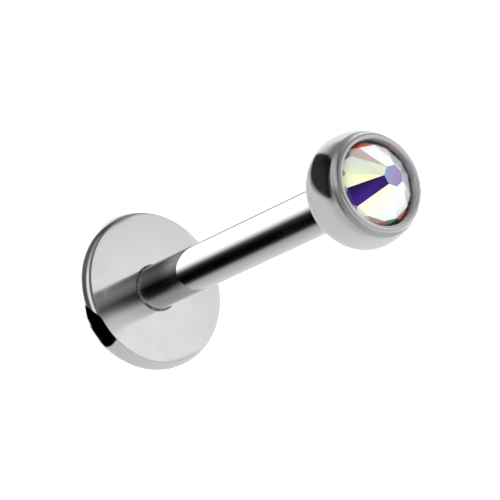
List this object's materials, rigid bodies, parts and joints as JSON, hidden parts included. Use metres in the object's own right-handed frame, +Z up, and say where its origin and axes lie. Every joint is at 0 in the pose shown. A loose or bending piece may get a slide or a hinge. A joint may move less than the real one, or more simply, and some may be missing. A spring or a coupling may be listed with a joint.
{
  "type": "labret stud",
  "caption": "Flat-back labret stud: a round back disc and straight post, with a screw-on round-bellied head that holds a pointed, iridescent faceted stone.",
  "frame": {"origin": "centre of the back disc's flat face, which is the bottom of the stud when it stands by itself", "axes": "+Z runs up the post from the back disc to the head; the stud is round about Z, and one main facet of the stone faces about -Y"},
  "size_m": [0.0042, 0.0042, 0.0116],
  "materials": {
    "polished_steel": "polished",
    "iridescent_crystal": "polished"
  },
  "bodies": {
    "base": {"labret_base": "polished_steel"},
    "head": {"bezel_head": "polished_steel", "stone": "iridescent_crystal"}
  },
  "joints": [
    {"name": "head_screw", "type": "slide", "parent": "base", "child": "head", "axis": [0, 0, 1], "range_m": [0, 0.002]}
  ]
}
